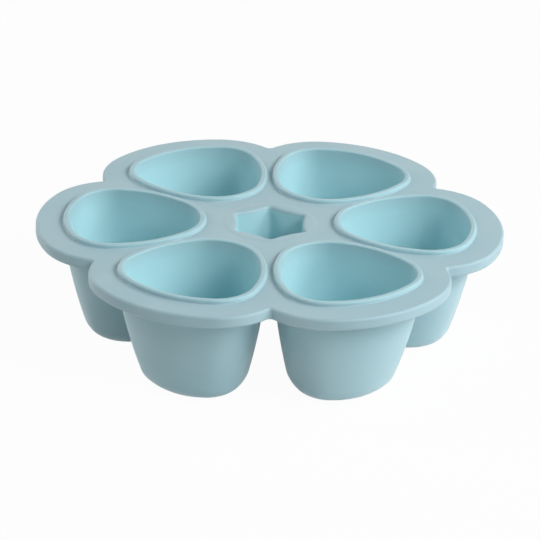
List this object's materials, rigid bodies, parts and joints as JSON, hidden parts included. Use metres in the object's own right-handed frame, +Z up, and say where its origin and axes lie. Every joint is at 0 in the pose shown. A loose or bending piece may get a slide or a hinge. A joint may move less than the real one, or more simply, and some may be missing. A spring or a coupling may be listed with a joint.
{
  "type": "baby food freezer tray",
  "caption": "Soft one-piece freezer tray for baby food: deep rounded-triangle portion cups with raised rims, hung in a lobed flat deck round an open star-shaped centre well",
  "frame": {"origin": "the point on the surface the tray stands on, straight below the middle of the star well", "axes": "+Z up out of the cups' mouths; +X through the middle of the right-hand cup; +Y to the back"},
  "size_m": [0.209, 0.197, 0.0556],
  "materials": {
    "silicone": "satin"
  },
  "bodies": {
    "root": {"deck": "silicone", "cup_right": "silicone", "cup_back_right": "silicone", "cup_back_left": "silicone", "cup_left": "silicone", "cup_front_left": "silicone", "cup_front_right": "silicone", "centre_collar": "silicone", "star_well": "silicone"}
  },
  "joints": []
}
